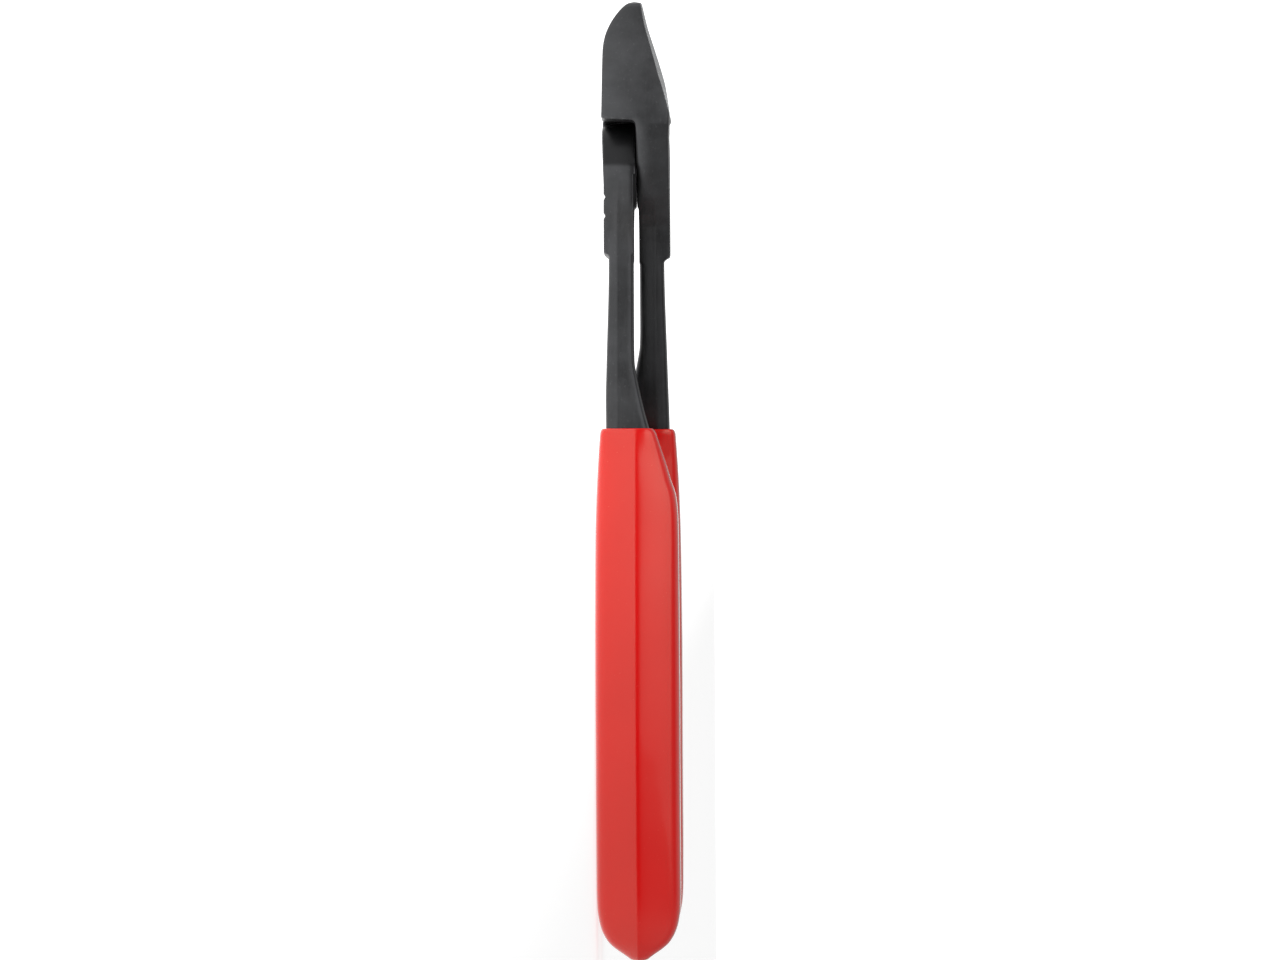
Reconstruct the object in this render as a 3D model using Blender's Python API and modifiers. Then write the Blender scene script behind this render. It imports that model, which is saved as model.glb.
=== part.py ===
"""Diagonal cutting pliers lying flat: two forged levers in a lap joint, one rivet, two dipped sleeves.

Metres, +Z up. X runs along the tool with the tip at +X, Y is the way the jaws open, and Z is the
thickness. Stations are given as the distance s from the tip, and heights as z from the lap plane.
"""

from math import acos, asin, cos, pi, radians, sin, tan

import bmesh
import bpy
import numpy as np
from mathutils import Matrix, Vector

# Driving dimensions.
LENGTH = 0.200
SLEEVE_HALF = 0.00865  # half the thickness of a sleeve, so also the height of the lap plane
LAP_GAP = 0.0003  # between the two levers where they meet
PIVOT_S = 0.0340
DISC_RADIUS = 0.0089
OPENING_LIMIT = radians(32)

# Joint.
JOINT_HALF = 0.0068
BOSS_END_S = 0.0530
RELIEF = 0.0006  # how far the inner faces stand back from the lap plane outside the disc
DISC_CHAMFER = 0.0006  # the disc spreads by this much at the foot of the step
RELIEF_START_S = 0.0362
DISC_SEGMENTS = 48
GROOVE_STATIONS = (0.0452, 0.0415)
GROOVE_DEPTH = 0.0004

# Rivet.
RIVET_RADIUS = 0.0036
RIVET_HEAD_RADIUS = 0.0053
RIVET_HEAD_DEPTH = 0.0022
RIVET_DOME = 0.0001
RIVET_PLAY = 0.0001

# Jaws.
SHOULDER_S = 0.0261
SHOULDER_DRAFT = 0.12  # the shoulder leans towards the tip by this much per unit of depth
EDGE_END_S = 0.0226  # the heel of the cutting edges
HEEL_HOLE_RADIUS = 0.0011
EDGE_LAND = 0.00025
GROOVE_HALF_ANGLE = radians(31)
FACE_TILT = 0.056  # the ground faces fall away from the edge by this much per unit of width

# Sleeves.
SLEEVE_MOUTH_S = 0.0894
SLEEVE_WALL = 0.0019
SLEEVE_LIP = 0.0012
SLEEVE_PLAY = 0.00015
RING_POINTS = 24
END_SHARES = np.array([1.0, 0.72, 0.50, 0.35, 0.23, 0.13, 0.05, 0.0])  # rings over the narrowing end

# Outlines as (s, offset). Back of a jaw, from the tip to the shoulder.
JAW_BACK = [(0.0009, 0.0036), (0.0040, 0.0054), (0.0090, 0.0078), (0.0150, 0.0103),
            (0.0205, 0.0121), (0.0242, 0.0128), (SHOULDER_S, 0.0129)]
# Where a lever's joint half crosses from its jaw to the other side's handle.
CROSSING = [(0.0290, 0.0121), (0.0325, 0.0106), (0.0365, 0.0082), (0.0405, 0.0053),
            (0.0440, 0.0022), (0.0472, -0.0003), (0.0500, -0.0010)]
# Outer side of the joint half, from the end of the boss to where it meets the disc.
BOSS_SIDE = [(BOSS_END_S, 0.0112), (0.0440, 0.0106), (0.0380, 0.0100), (0.0354, 0.0096), (0.0344, 0.0092)]
# Inner and outer sides of the steel handle, and its faces towards and away from the other lever.
HANDLE_INNER = [(0.045, 0.0009), (0.055, 0.0011), (0.065, 0.0017), (0.075, 0.0027), (0.089, 0.0044),
                (0.110, 0.0073), (0.130, 0.0091), (0.150, 0.0096), (0.170, 0.0089), (0.198, 0.0066)]
HANDLE_OUTER = [(0.045, 0.0103), (0.055, 0.0112), (0.065, 0.0120), (0.075, 0.0130), (0.089, 0.0152),
                (0.110, 0.0197), (0.130, 0.0226), (0.150, 0.0234), (0.170, 0.0227), (0.198, 0.0192)]
HANDLE_FACE = [(0.045, 0.0055), (0.054, 0.0055), (0.075, 0.0060), (0.090, 0.0064), (0.107, 0.0066),
               (0.140, 0.00675), (0.184, 0.00675), (0.198, 0.0065)]
HANDLE_LAP = [(0.045, -0.00065), (0.070, -0.00065), (0.0755, -0.00055), (0.0785, -0.0001),
              (0.0815, 0.0005), (0.0850, 0.0013), (0.0900, 0.00265), (0.1035, 0.0060),
              (0.1075, 0.0066), (0.140, 0.00675), (0.184, 0.00675), (0.198, 0.0065)]
# Cutting edge as (s, z), with the run-out of the ground face into the joint's front face.
EDGE_LINE = [(-0.0020, 0.0007), (0.0012, 0.0016), (0.0060, 0.0026), (0.0100, 0.0036), (0.0140, 0.0046),
             (0.0175, 0.0056), (0.0200, 0.0063), (0.0225, 0.0068), (0.0250, 0.0071), (0.0280, 0.0078)]
# Rear of the head as (s, z).
HEAD_REAR = [(0.0, -0.0016), (0.0005, -0.0023), (0.0013, -0.0031), (0.0028, -0.0043), (0.0050, -0.0056),
             (0.0074, -0.0065), (0.0100, -0.0069), (0.0140, -0.0070), (0.0225, -0.0071), (SHOULDER_S, -0.0071)]
HANDLE_END_S = 0.1981
END_TAPER = 0.0120  # length over which the handle narrows to its blunt point
# The narrowing as (share of that length, share of the full size), seen from the side and in plan.
SIDE_NARROWING = [(0, 0.09), (0.037, 0.20), (0.104, 0.35), (0.163, 0.49), (0.226, 0.625), (0.289, 0.73),
                  (0.352, 0.80), (0.415, 0.855), (0.474, 0.895), (0.60, 0.95), (0.80, 0.99), (1.0, 1.0)]
PLAN_NARROWING = [(0, 0.28), (0.037, 0.44), (0.104, 0.60), (0.226, 0.77), (0.352, 0.87), (0.60, 0.965),
                  (0.80, 0.99), (1.0, 1.0)]
TANG_ROUNDING = 2.9  # exponents of the superellipse that each section follows
SHANK_ROUNDING = 7.0

TIP_X = LENGTH / 2
PIVOT = Vector((TIP_X - PIVOT_S, 0, SLEEVE_HALF))


# ---- curves and shapes ----


def smooth(points):
    """A function that passes smoothly through (s, value) points without overshooting them."""
    at, value = np.array(points, float).T
    step = np.diff(value) / np.diff(at)
    rising = step[1:] * step[:-1] > 0
    total = np.where(rising, step[1:] + step[:-1], 1)
    middle = np.where(rising, 2 * step[1:] * step[:-1] / total, 0)
    slope = np.concatenate([step[:1], middle, step[-1:]])

    def evaluate(s):
        s = np.clip(s, at[0], at[-1])
        i = np.clip(np.searchsorted(at, s) - 1, 0, len(step) - 1)
        width = at[i + 1] - at[i]
        t = (s - at[i]) / width
        start, end = value[i], value[i + 1]
        lean_in, lean_out = slope[i] * width, slope[i + 1] * width
        return (
            start * (2 * t**3 - 3 * t**2 + 1)
            + end * (3 * t**2 - 2 * t**3)
            + lean_in * (t**3 - 2 * t**2 + t)
            + lean_out * (t**3 - t**2)
        )

    return evaluate


def sampled(points, count):
    """(s, offset) pairs along the smooth curve through the points."""
    curve = smooth(points)
    return [(s, float(curve(s))) for s in np.linspace(points[0][0], points[-1][0], count)]


def arc(centre_s, radius, start, end, count):
    """(s, y) pairs on a circle about (centre_s, 0). Angles run from +Y towards the tip."""
    return [
        (centre_s - radius * sin(a), radius * cos(a)) for a in np.linspace(start, end, count)
    ]


def place(s, y, z):
    """The point at station s, offset y and height z from the lap plane."""
    return Vector((TIP_X - s, y, SLEEVE_HALF + z))


def add_object(name, mesh, collection):
    obj = bpy.data.objects.new(name, mesh)
    collection.objects.link(obj)
    if collection.name == "cutters":
        obj.hide_render = True
        obj.display_type = "WIRE"
    return obj


def prism(name, outline, half, collection, side_view=False):
    """A flat outline drawn as a filled 2D curve and extruded both ways, as a welded mesh."""
    curve = bpy.data.curves.new(name, "CURVE")
    curve.dimensions = "2D"
    curve.fill_mode = "BOTH"
    curve.extrude = half
    spline = curve.splines.new("POLY")
    spline.points.add(len(outline) - 1)
    for point, (u, v) in zip(spline.points, outline):
        point.co = (u, v, 0, 1)
    spline.use_cyclic_u = True
    drawn = bpy.data.objects.new(name + "_outline", curve)
    bpy.context.scene.collection.objects.link(drawn)
    if side_view:
        drawn.matrix_world = Matrix.Rotation(pi / 2, 4, "X")
    bpy.context.view_layer.update()
    evaluated = drawn.evaluated_get(bpy.context.evaluated_depsgraph_get())
    mesh = bpy.data.meshes.new_from_object(evaluated)
    mesh.transform(drawn.matrix_world)
    bpy.data.objects.remove(drawn)
    bm = bmesh.new()
    bm.from_mesh(mesh)
    bmesh.ops.remove_doubles(bm, verts=bm.verts, dist=1e-6)
    bmesh.ops.recalc_face_normals(bm, faces=bm.faces)
    bm.to_mesh(mesh)
    bm.free()
    return add_object(name, mesh, collection)


def plan_prism(name, outline, low, high, collection):
    """A prism from a plan outline of (s, y) points, between two heights from the lap plane."""
    obj = prism(name, [(TIP_X - s, y) for s, y in outline], (high - low) / 2, collection)
    obj.data.transform(Matrix.Translation((0, 0, SLEEVE_HALF + (low + high) / 2)))
    return obj


def side_prism(name, outline, half_width, collection):
    """A prism from a side outline of (s, z) points, running across the tool."""
    points = [(TIP_X - s, SLEEVE_HALF + z) for s, z in outline]
    return prism(name, points, half_width, collection, side_view=True)


def loft(name, rings, collection):
    """A closed body through rings of points, with its first and last ring filled."""
    bm = bmesh.new()
    loops = [[bm.verts.new(p) for p in ring] for ring in rings]
    for low, high in zip(loops, loops[1:]):
        for i in range(len(low)):
            j = (i + 1) % len(low)
            bm.faces.new((low[i], low[j], high[j], high[i]))
    bm.faces.new(loops[0][::-1])
    bm.faces.new(loops[-1])
    bmesh.ops.recalc_face_normals(bm, faces=bm.faces)
    mesh = bpy.data.meshes.new(name)
    bm.to_mesh(mesh)
    bm.free()
    return add_object(name, mesh, collection)


def turned(name, profile, collection, segments=DISC_SEGMENTS):
    """A body turned about the pivot's axis from (radius, z) points, top to bottom."""
    mesh = bpy.data.meshes.new(name)
    points = [(r, 0, z) for r, z in profile]
    mesh.from_pydata(points, [(i, i + 1) for i in range(len(points) - 1)], [])
    obj = add_object(name, mesh, collection)
    obj.location = PIVOT
    screw = obj.modifiers.new("Turn", "SCREW")
    screw.steps = screw.render_steps = segments
    screw.use_merge_vertices = True
    screw.merge_threshold = 1e-6
    return obj


def boolean(obj, operation, other):
    modifier = obj.modifiers.new(operation.title() + " " + other.name, "BOOLEAN")
    modifier.operation = operation
    modifier.object = other


def material(name, colour, roughness, metallic):
    made = bpy.data.materials.new(name)
    made.use_nodes = True
    shader = made.node_tree.nodes["Principled BSDF"]
    shader.inputs["Base Color"].default_value = (*colour, 1)
    shader.inputs["Roughness"].default_value = roughness
    shader.inputs["Metallic"].default_value = metallic
    return made


# ---- handle sections, shared by the steel and its sleeve ----


def handle_ring(s, hand, outset=0.0):
    """One section of a handle, as a rounded rectangle that narrows to a blunt point at the end.

    hand is +1 for the right lever, whose handle lies at -Y, and -1 for the left lever.
    """
    inner, outer = smooth(HANDLE_INNER)(s), smooth(HANDLE_OUTER)(s)
    face, lap = smooth(HANDLE_FACE)(s), smooth(HANDLE_LAP)(s)
    end_s = HANDLE_END_S + outset
    left = (end_s - s) / (END_TAPER + outset)
    half_y = ((outer - inner) / 2 + outset) * smooth(PLAN_NARROWING)(left)
    half_z = ((face + lap) / 2 + outset) * smooth(SIDE_NARROWING)(left)
    mid_y = -hand * (outer + inner) / 2
    mid_z = hand * (face - lap) / 2
    blend = np.clip((s - 0.084) / 0.024, 0, 1)
    power = SHANK_ROUNDING + (TANG_ROUNDING - SHANK_ROUNDING) * blend * blend * (3 - 2 * blend)
    flat = cos(pi / RING_POINTS) ** (2 / power)
    ring = []
    for i in range(RING_POINTS):
        a = 2 * pi * (i + 0.5) / RING_POINTS
        y = half_y * abs(cos(a)) ** (2 / power) * np.sign(cos(a)) / flat
        z = half_z * abs(sin(a)) ** (2 / power) * np.sign(sin(a)) / flat
        ring.append(place(s, mid_y + y, mid_z + z))
    return ring


def steel_handle(name, hand, collection):
    stations = [0.0470, 0.0550, 0.0650, 0.0740, 0.0770, 0.0800, 0.0830, 0.0870, 0.0910, 0.0960,
                0.1010, 0.1050, 0.1080, 0.1150, 0.1250, 0.1370, 0.1500, 0.1630, 0.1750]
    stations += list(HANDLE_END_S - END_TAPER * END_SHARES)
    return loft(name, [handle_ring(s, hand) for s in stations], collection)


def sleeve(name, hand, collection):
    """The dipped sleeve: an outer skin, a rolled lip and a cavity that the tang fills."""
    lip = [(0.0, 0.55), (0.0002, 0.80), (0.0007, 1.0)]
    rings = [
        handle_ring(SLEEVE_MOUTH_S + depth, hand, SLEEVE_LIP * share) for depth, share in lip
    ]
    body = [0.0940, 0.0980, 0.1020, 0.1060, 0.1100, 0.1170, 0.1260, 0.1370, 0.1500, 0.1630, 0.1750]
    wall = smooth([(SLEEVE_MOUTH_S, SLEEVE_LIP), (0.1300, SLEEVE_WALL), (LENGTH, SLEEVE_WALL)])
    rings += [handle_ring(s, hand, wall(s)) for s in body]
    end_s = HANDLE_END_S + SLEEVE_WALL
    reach = END_TAPER + SLEEVE_WALL
    rings += [handle_ring(s, hand, SLEEVE_WALL) for s in end_s - reach * END_SHARES]
    outer_count = len(rings)
    cavity_end = HANDLE_END_S + SLEEVE_PLAY
    inner = list(cavity_end - (END_TAPER + SLEEVE_PLAY) * END_SHARES[::-1]) + body[::-1]
    inner.append(SLEEVE_MOUTH_S)
    rings += [handle_ring(s, hand, SLEEVE_PLAY) for s in inner]
    bm = bmesh.new()
    loops = [[bm.verts.new(p) for p in ring] for ring in rings]
    for k, (low, high) in enumerate(zip(loops, loops[1:] + loops[:1])):
        if k == outer_count - 1:  # the blind end: both skins are capped instead
            bm.faces.new(low)
            bm.faces.new(high[::-1])
            continue
        for i in range(RING_POINTS):
            j = (i + 1) % RING_POINTS
            bm.faces.new((low[i], low[j], high[j], high[i]))
    bmesh.ops.recalc_face_normals(bm, faces=bm.faces)
    mesh = bpy.data.meshes.new(name)
    bm.to_mesh(mesh)
    bm.free()
    return add_object(name, mesh, collection)


# ---- head and joint ----


def head_outline(hand):
    """Plan of one lever's jaw, disc and shank root. Positive offsets are on its jaw's side."""
    inner_y = LAP_GAP / 2
    jaw = [(-0.0003, inner_y), (-0.0003, 0.0016), (0.0002, 0.0028)]
    jaw += sampled(JAW_BACK, 14)
    cross = sampled(CROSSING, 12)
    root = [(BOSS_END_S, -0.0011)] + [(s, -y) for s, y in BOSS_SIDE]
    disc = arc(PIVOT_S, DISC_RADIUS, pi, pi / 2 + 0.02, 13)
    mouth = acos(inner_y / HEEL_HOLE_RADIUS)
    heel = [(PIVOT_S - DISC_RADIUS, inner_y)] + arc(EDGE_END_S, HEEL_HOLE_RADIUS, -mouth, mouth, 11)
    return [(s, hand * y) for s, y in jaw + cross + root + disc + heel]


def head_side(hand):
    """Side view of the head and joint. The left lever's rear has plain V grooves across it."""
    front = [(0.0, 0.0009), (0.0004, 0.0040), (0.0060, 0.0072), (SHOULDER_S, 0.0072),
             (SHOULDER_S + 0.0025, JOINT_HALF)]
    boss = [(BOSS_END_S - 0.0012, JOINT_HALF), (BOSS_END_S, 0.0052)]
    rear = [(s, -z) for s, z in reversed(boss)]
    for s in GROOVE_STATIONS if hand < 0 else ():
        rear += [(s + 0.0007, -JOINT_HALF), (s, -JOINT_HALF + GROOVE_DEPTH), (s - 0.0007, -JOINT_HALF)]
    rear.append((SHOULDER_S + 0.0025, -JOINT_HALF))
    return front + boss + rear + list(reversed(HEAD_REAR))


def face_cutter(name, hand, collection):
    """Everything in front of one jaw's ground face, which falls away from the cutting edge."""
    edge = smooth(EDGE_LINE)
    reach = 0.016
    rings = []
    for s in np.linspace(EDGE_LINE[0][0], EDGE_LINE[-1][0], 13):
        z = edge(s)
        fall = FACE_TILT * reach * np.clip((0.0245 - s) / 0.007, 0, 1)
        rings.append([
            place(s, -hand * 0.001, z),
            place(s, hand * reach, z - fall),
            place(s, hand * reach, 0.012),
            place(s, -hand * 0.001, 0.012),
        ])
    return loft(name, rings, collection)


def groove_cutter(name, hand, collection):
    """The hollow behind one cutting edge. Its slope turns upright where the edge ends."""
    edge = smooth(EDGE_LINE)
    inner_y = LAP_GAP / 2
    floor_z = -0.009
    rings = []
    for s in [-0.002, 0.004, 0.010, 0.015, 0.0185, 0.0205, 0.0220, 0.0232, 0.0240]:
        top = edge(s) - EDGE_LAND
        share = 1 - np.clip((s - 0.0185) / 0.0060, 0, 1) ** 2
        spread = (top - floor_z) * tan(GROOVE_HALF_ANGLE) * share
        rings.append([
            place(s, -hand * 0.002, top),
            place(s, hand * inner_y, top),
            place(s, hand * (inner_y + spread), floor_z),
            place(s, -hand * 0.002, floor_z),
        ])
    return loft(name, rings, collection)


def lap_cutter(name, hand, collection):
    """What a lever gives up to the other lever's half: from the shoulder down to the shanks."""
    shoulder = DISC_RADIUS + LAP_GAP
    rings = []
    for depth in (-LAP_GAP / 2, 0.0095):
        wall_s = SHOULDER_S - SHOULDER_DRAFT * depth
        outline = arc(PIVOT_S, shoulder, asin((PIVOT_S - wall_s) / shoulder), pi / 2, 8)
        outline += [(PIVOT_S - shoulder, -0.014), (0.058, -0.014), (0.058, 0.018), (wall_s, 0.018)]
        rings.append([place(s, hand * y, -hand * depth) for s, y in outline])
    return loft(name, rings, collection)


def relief_cutter(name, hand, collection):
    """A shallow step in the inner face, all round the raised disc with its sloping edge."""
    outer = [(RELIEF_START_S, 0.020), (0.060, 0.020), (0.060, -0.020), (RELIEF_START_S, -0.020)]
    meeting = acos((RELIEF_START_S - PIVOT_S) / DISC_RADIUS)
    rings = []
    for depth, spread in ((-0.001, 0), (LAP_GAP / 2, 0), (RELIEF, DISC_CHAMFER)):
        rim = [
            (PIVOT_S + (DISC_RADIUS + spread) * cos(a), (DISC_RADIUS + spread) * sin(a))
            for a in np.linspace(-meeting, meeting, 17)
        ]
        rings.append([place(s, hand * y, hand * depth) for s, y in outer + rim])
    return loft(name, rings, collection)


def rivet_profile(play):
    """Half of the rivet's section, from the top down, grown by a running clearance."""
    top = JOINT_HALF + RIVET_DOME
    neck = JOINT_HALF - RIVET_HEAD_DEPTH
    radius, head = RIVET_RADIUS + play, RIVET_HEAD_RADIUS + play
    half = [(head - 0.0006, top), (head, JOINT_HALF - 0.0002), (radius, neck)]
    return half + [(r, -z) for r, z in reversed(half)]


def rivet(name, collection):
    profile = rivet_profile(0)
    top = profile[0][1] + 0.00005
    return turned(name, [(0, top)] + profile + [(0, -top)], collection)


def bore_cutter(name, collection):
    profile = rivet_profile(RIVET_PLAY)
    reach = JOINT_HALF + 0.002
    head = RIVET_HEAD_RADIUS + RIVET_PLAY
    profile = [(0, reach), (head, reach)] + profile[1:-1] + [(head, -reach), (0, -reach)]
    return turned(name, profile, collection)


def lever(name, hand, parts, cutters):
    """One forged lever: jaw, joint half, shank and the tang that its sleeve covers."""
    obj = plan_prism(name, head_outline(hand), -0.008, 0.008, parts)
    tag = "right" if hand > 0 else "left"
    boolean(obj, "INTERSECT", side_prism(tag + "_head_side", head_side(hand), 0.02, cutters))
    boolean(obj, "DIFFERENCE", face_cutter(tag + "_face", hand, cutters))
    boolean(obj, "DIFFERENCE", groove_cutter(tag + "_groove", hand, cutters))
    boolean(obj, "DIFFERENCE", lap_cutter(tag + "_lap", hand, cutters))
    boolean(obj, "DIFFERENCE", relief_cutter(tag + "_relief", hand, cutters))
    boolean(obj, "UNION", steel_handle(tag + "_handle", hand, cutters))
    boolean(obj, "DIFFERENCE", bore_cutter(tag + "_bore", cutters))
    return obj


def hang_on(obj, empty):
    """Puts an object's origin on the pivot's axis, under the empty that carries its half."""
    bpy.context.view_layer.update()
    if obj.location.length < 1e-9:
        obj.data.transform(Matrix.Translation(-PIVOT))
    obj.location = (0, 0, 0)
    obj.parent = empty


def main():
    for obj in list(bpy.data.objects):
        bpy.data.objects.remove(obj)
    scene = bpy.context.scene.collection
    parts = bpy.data.collections.new("diagonal_cutting_pliers")
    cutters = bpy.data.collections.new("cutters")
    scene.children.link(parts)
    scene.children.link(cutters)

    steel = material("blackened_steel", (0.045, 0.046, 0.050), 0.42, 0.75)
    bright = material("ground_steel", (0.50, 0.51, 0.53), 0.30, 1.0)
    vinyl = material("red_vinyl", (0.62, 0.012, 0.012), 0.28, 0.0)

    for hand, side in ((1, "right"), (-1, "left")):
        empty = bpy.data.objects.new(side + "_half", None)
        empty.location = PIVOT
        parts.objects.link(empty)
        steel_lever = lever(side + "_lever", hand, parts, cutters)
        grip = sleeve(side + "_grip_sleeve", hand, parts)
        for obj, finish in ((steel_lever, steel), (grip, vinyl)):
            obj.data.materials.append(finish)
            hang_on(obj, empty)
            obj.data.shade_smooth()
            obj.data.set_sharp_from_angle(angle=radians(35))
        if hand > 0:
            pin = rivet("pivot_rivet", parts)
            pin.data.materials.append(bright)
            hang_on(pin, empty)
    bpy.context.view_layer.update()


main()
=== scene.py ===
from math import acos, asin, cos, pi, radians, sin, tan

import bmesh
import bpy
import numpy as np
from mathutils import Matrix, Vector


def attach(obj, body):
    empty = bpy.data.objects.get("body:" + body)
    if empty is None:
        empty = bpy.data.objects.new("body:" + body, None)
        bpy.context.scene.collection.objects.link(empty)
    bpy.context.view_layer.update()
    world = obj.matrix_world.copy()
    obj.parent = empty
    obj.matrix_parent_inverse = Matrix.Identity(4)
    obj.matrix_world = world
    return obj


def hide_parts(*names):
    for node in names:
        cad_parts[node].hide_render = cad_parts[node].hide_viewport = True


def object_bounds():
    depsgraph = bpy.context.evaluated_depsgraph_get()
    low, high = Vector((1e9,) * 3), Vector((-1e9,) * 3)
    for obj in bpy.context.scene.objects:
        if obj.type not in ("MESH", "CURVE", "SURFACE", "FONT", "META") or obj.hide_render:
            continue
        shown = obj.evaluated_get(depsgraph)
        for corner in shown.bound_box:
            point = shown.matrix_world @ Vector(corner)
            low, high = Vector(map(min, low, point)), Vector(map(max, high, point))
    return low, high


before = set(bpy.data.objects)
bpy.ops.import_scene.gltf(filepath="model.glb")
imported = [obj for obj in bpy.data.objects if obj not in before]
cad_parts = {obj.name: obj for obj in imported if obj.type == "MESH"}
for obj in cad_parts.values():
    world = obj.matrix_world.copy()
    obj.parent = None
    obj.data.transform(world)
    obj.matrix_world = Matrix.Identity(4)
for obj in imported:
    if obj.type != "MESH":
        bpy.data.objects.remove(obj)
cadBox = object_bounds()
tipX = cadBox[1].x
lapZ = (cadBox[0].z + cadBox[1].z) / 2
scene = bpy.context.scene
print("frame loaded, lap plane at", round(lapZ, 5))


class Wire:  # one socket, or the tree alone, with arithmetic that adds Math nodes
    def __init__(self, tree, socket=None):
        self.tree, self.socket = tree, socket

    def node(self, kind, settings=None, sockets=None, out=0):
        made = self.tree.nodes.new(kind)
        for name, value in (settings or {}).items():
            if name == "curve":
                points = made.mapping.curves[0].points
                while len(points) < len(value):
                    points.new(0.5, 0.5)
                for point, (u, v) in zip(points, value):
                    point.location = (u, v)
                made.mapping.update()
            else:
                setattr(made, name, value)
        for name, value in (sockets or {}).items():
            if isinstance(value, Wire):
                self.tree.links.new(value.socket, made.inputs[name])
            else:
                made.inputs[name].default_value = value
        return Wire(self.tree, made.outputs[out])

    def output(self, index):  # another output of the same node
        return Wire(self.tree, self.socket.node.outputs[index])

    def math(self, operation, *values):
        return self.node("ShaderNodeMath", {"operation": operation}, dict(enumerate(values)))

    def __add__(self, other):
        return self.math("ADD", self, other)

    def __sub__(self, other):
        return self.math("SUBTRACT", self, other)

    def __rsub__(self, other):
        return self.math("SUBTRACT", other, self)

    def __mul__(self, other):
        return self.math("MULTIPLY", self, other)

    def __truediv__(self, other):
        return self.math("DIVIDE", self, other)

    def __rtruediv__(self, other):
        return self.math("DIVIDE", other, self)

    def __pow__(self, other):
        return self.math("POWER", self, other)

    def __abs__(self):
        return self.math("ABSOLUTE", self)

    __radd__, __rmul__ = __add__, __mul__

    def ramp(self, low, high, start=0.0, end=1.0, kind="LINEAR"):
        return self.node("ShaderNodeMapRange", {"interpolation_type": kind, "clamp": True},
                         {0: self, 1: low, 2: high, 3: start, 4: end})


def mixColour(factor, a, b):
    first, second = [colour if isinstance(colour, Wire) else (*colour, 1) for colour in (a, b)]
    return factor.node("ShaderNodeMix", {"data_type": "RGBA", "clamp_factor": True},
                       {0: factor, 6: first, 7: second}, 2)


def smoothRule(points):  # passes through the points without overshooting them
    at, value = np.array(points, float).T
    step = np.diff(value) / np.diff(at)
    rising = step[1:] * step[:-1] > 0
    total = np.where(rising, step[1:] + step[:-1], 1)
    slope = np.concatenate([step[:1], np.where(rising, 2 * step[1:] * step[:-1] / total, 0), step[-1:]])

    def rule(s):
        s = np.clip(s, at[0], at[-1])
        i = np.clip(np.searchsorted(at, s) - 1, 0, len(step) - 1)
        width = at[i + 1] - at[i]
        t = (s - at[i]) / width
        return (value[i] * (2 * t**3 - 3 * t**2 + 1) + value[i + 1] * (3 * t**2 - 2 * t**3)
                + slope[i] * width * (t**3 - 2 * t**2 + t) + slope[i + 1] * width * (t**3 - t**2))
    return rule


def sampled(points, count):
    rule = smoothRule(points)
    return [(s, float(rule(s))) for s in np.linspace(points[0][0], points[-1][0], count)]


def arc(centre, radius, start, end, count):  # angles run from +Y towards the tip
    return [(centre - radius * sin(a), radius * cos(a)) for a in np.linspace(start, end, count)]


def place(s, y, z):
    return Vector((tipX - s, y, lapZ + z))


def smoothStep(low, high, value):
    t = np.clip((value - low) / (high - low), 0, 1)
    return t * t * (3 - 2 * t)


def band(value, rise, fall):  # 0 outside, 1 between the rise and the fall
    return smoothStep(*rise, value) * (1 - smoothStep(*fall, value))


def addMesh(name, bm):
    bmesh.ops.remove_doubles(bm, verts=bm.verts, dist=1e-7)
    bmesh.ops.recalc_face_normals(bm, faces=bm.faces)
    mesh = bpy.data.meshes.new(name)
    bm.to_mesh(mesh)
    bm.free()
    made = bpy.data.objects.new(name, mesh)
    scene.collection.objects.link(made)
    return made


def loft(name, rings):  # a closed body through rings of points
    bm = bmesh.new()
    loops = [[bm.verts.new(p) for p in ring] for ring in rings]
    for low, high in zip(loops, loops[1:]):
        for i in range(len(low)):
            j = (i + 1) % len(low)
            bm.faces.new((low[i], low[j], high[j], high[i]))
    for end in (loops[0][::-1], loops[-1]):
        bmesh.ops.triangulate(bm, faces=[bm.faces.new(end)])
    return addMesh(name, bm)


def turned(name, profile, segments=112):  # (radius, height) points turned about the rivet's axis
    bm = bmesh.new()
    line = [bm.verts.new(place(jointShape["pivot"] - r, 0, z)) for r, z in profile]
    edges = [bm.edges.new(pair) for pair in zip(line, line[1:])]
    bmesh.ops.spin(bm, geom=line + edges, cent=place(jointShape["pivot"], 0, 0), axis=(0, 0, 1),
                   angle=2 * pi, steps=segments, use_merge=True)
    return addMesh(name, bm)


def settle(piece):  # turns the piece's live modifiers into its mesh
    evaluated = piece.evaluated_get(bpy.context.evaluated_depsgraph_get())
    mesh = bpy.data.meshes.new_from_object(evaluated)
    piece.modifiers.clear()
    old, piece.data = piece.data, mesh
    bpy.data.meshes.remove(old)
    return piece


def carve(piece, operation, tool, finish=None):  # a finish, if given, goes on the faces that the tool leaves
    if finish:
        tool.data.materials.append(finish)
    cut = piece.modifiers.new("Cut", "BOOLEAN")
    cut.operation = operation
    cut.object = tool
    cut.solver = "MANIFOLD"
    cut.material_mode = "TRANSFER"
    settle(piece)
    bpy.data.objects.remove(tool)
    return piece


def coordinates(mesh, what="co"):
    found = np.zeros(len(mesh.vertices) * 3)
    mesh.vertices.foreach_get(what, found)
    return found.reshape(-1, 3)


def edgeEnds(mesh):
    ends = np.zeros(len(mesh.edges) * 2, np.int64)
    mesh.edges.foreach_get("vertices", ends)
    return ends.reshape(-1, 2).T


def spread(values, ends, count):  # mean over each vertex's neighbours
    a, b = ends
    number = np.maximum(np.bincount(a, minlength=count) + np.bincount(b, minlength=count), 1)
    sums = [np.bincount(a, values[b, k], count) + np.bincount(b, values[a, k], count)
            for k in range(values.shape[1])]
    return np.stack(sums, 1) / number[:, None]


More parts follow.
